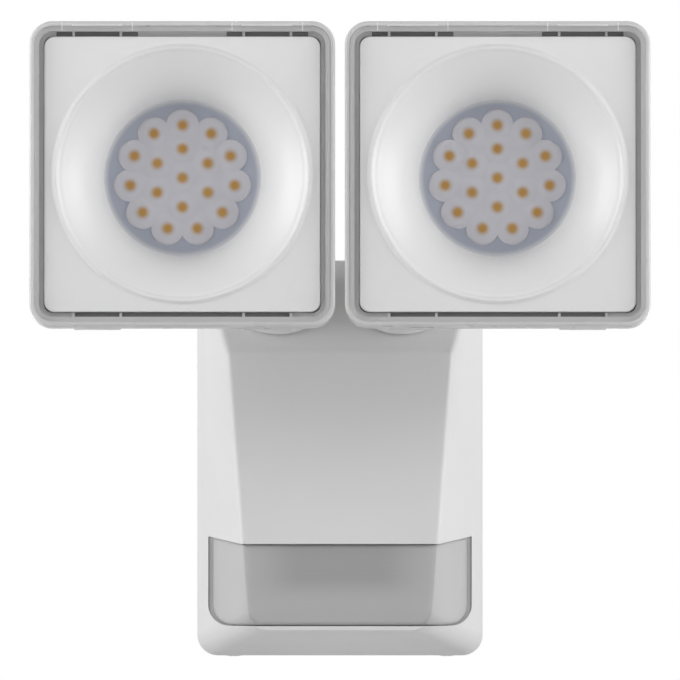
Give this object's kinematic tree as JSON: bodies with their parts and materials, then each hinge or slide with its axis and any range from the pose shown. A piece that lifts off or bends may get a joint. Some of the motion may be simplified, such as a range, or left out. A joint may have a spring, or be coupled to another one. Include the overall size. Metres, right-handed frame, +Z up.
{
  "type": "motion sensor security light",
  "caption": "White wall light with square LED heads on short arms that pan and tilt, above a wedge-shaped housing with a wrap-round motion sensor window and adjusting dials.",
  "frame": {"origin": "centre of the back plate's rear face, which lies on the wall", "axes": "+X to the right seen from the front, +Y into the wall, +Z up"},
  "size_m": [0.2134, 0.121, 0.2199],
  "materials": {
    "white_plastic": "fine matte moulded",
    "plate_plastic": "matte moulded",
    "lens_plastic": "translucent, satin",
    "dark_plastic": "matte",
    "dial_plastic": "matte",
    "rubber": "matte",
    "grey_rubber": "matte",
    "white_aluminium": "white powder coat",
    "clear_plastic": "clear polycarbonate",
    "reflector_plastic": "satin white",
    "led_board": "blue-grey solder mask",
    "led": "amber phosphor",
    "led_lens": "translucent",
    "steel": "zinc plated",
    "circuit_board": "green solder mask",
    "ferrite": "matte",
    "capacitor": "sleeved can",
    "relay": "moulded"
  },
  "bodies": {
    "housing": {"front_housing": "white_plastic", "back_plate": "plate_plastic", "housing_seal": "rubber", "housing_screws": "steel", "sensor_lens": "lens_plastic", "lens_frame": "plate_plastic", "sensor_holder": "dark_plastic", "sensor_board": "circuit_board", "motion_sensor": "steel", "driver_board": "circuit_board", "board_screws": "steel", "transformer": "ferrite", "capacitors": "capacitor", "relay": "relay", "terminal_block": "plate_plastic", "terminal_screws": "steel", "cable_grommet": "rubber", "dial_board": "circuit_board", "dial_potentiometers": "dark_plastic", "arm_left": "white_aluminium", "arm_right": "white_aluminium", "arm_seals": "grey_rubber", "arm_nuts": "steel"},
    "range_dial": {"range_dial": "dial_plastic"},
    "time_dial": {"time_dial": "dial_plastic"},
    "dusk_dial": {"dusk_dial": "dial_plastic"},
    "knuckle_left": {"pan_knuckle_left": "white_aluminium", "pan_screw_left": "steel", "pan_nut_left": "steel", "pan_washer_left": "steel"},
    "knuckle_right": {"pan_knuckle_right": "white_aluminium", "pan_screw_right": "steel", "pan_nut_right": "steel", "pan_washer_right": "steel"},
    "head_left": {"head_housing_left": "white_aluminium", "head_bracket_left": "white_aluminium", "head_cover_left": "clear_plastic", "head_gasket_left": "grey_rubber", "head_reflector_left": "reflector_plastic", "led_board_left": "led_board", "head_screws_left": "steel", "leds_left": "led", "led_lens_left": "led_lens", "tilt_bolt_left": "steel", "tilt_nut_left": "steel", "tilt_washers_left": "steel", "head_gland_left": "rubber"},
    "head_right": {"head_housing_right": "white_aluminium", "head_bracket_right": "white_aluminium", "head_cover_right": "clear_plastic", "head_gasket_right": "grey_rubber", "head_reflector_right": "reflector_plastic", "led_board_right": "led_board", "head_screws_right": "steel", "leds_right": "led", "led_lens_right": "led_lens", "tilt_bolt_right": "steel", "tilt_nut_right": "steel", "tilt_washers_right": "steel", "head_gland_right": "rubber"}
  },
  "joints": [
    {"name": "pan_left", "type": "hinge", "parent": "housing", "child": "knuckle_left", "pos_m": [-0.05416, -0.049, 0.09475], "axis": [0, 0, -1], "range_deg": [0, 45]},
    {"name": "tilt_left", "type": "hinge", "parent": "knuckle_left", "child": "head_left", "pos_m": [-0.05416, -0.064, 0.09475], "axis": [1, 0, 0], "range_deg": [-45, 35]},
    {"name": "pan_right", "type": "hinge", "parent": "housing", "child": "knuckle_right", "pos_m": [0.05416, -0.049, 0.09475], "axis": [0, 0, 1], "range_deg": [0, 45]},
    {"name": "tilt_right", "type": "hinge", "parent": "knuckle_right", "child": "head_right", "pos_m": [0.05416, -0.064, 0.09475], "axis": [1, 0, 0], "range_deg": [-45, 35]},
    {"name": "range_turn", "type": "hinge", "parent": "housing", "child": "range_dial", "pos_m": [-0.02, -0.0115, -0.0682], "axis": [0, 0, 1], "range_deg": [-135, 135]},
    {"name": "time_turn", "type": "hinge", "parent": "housing", "child": "time_dial", "pos_m": [0, -0.0115, -0.0682], "axis": [0, 0, 1], "range_deg": [-135, 135]},
    {"name": "dusk_turn", "type": "hinge", "parent": "housing", "child": "dusk_dial", "pos_m": [0.02, -0.0115, -0.0682], "axis": [0, 0, 1], "range_deg": [-135, 135]}
  ]
}
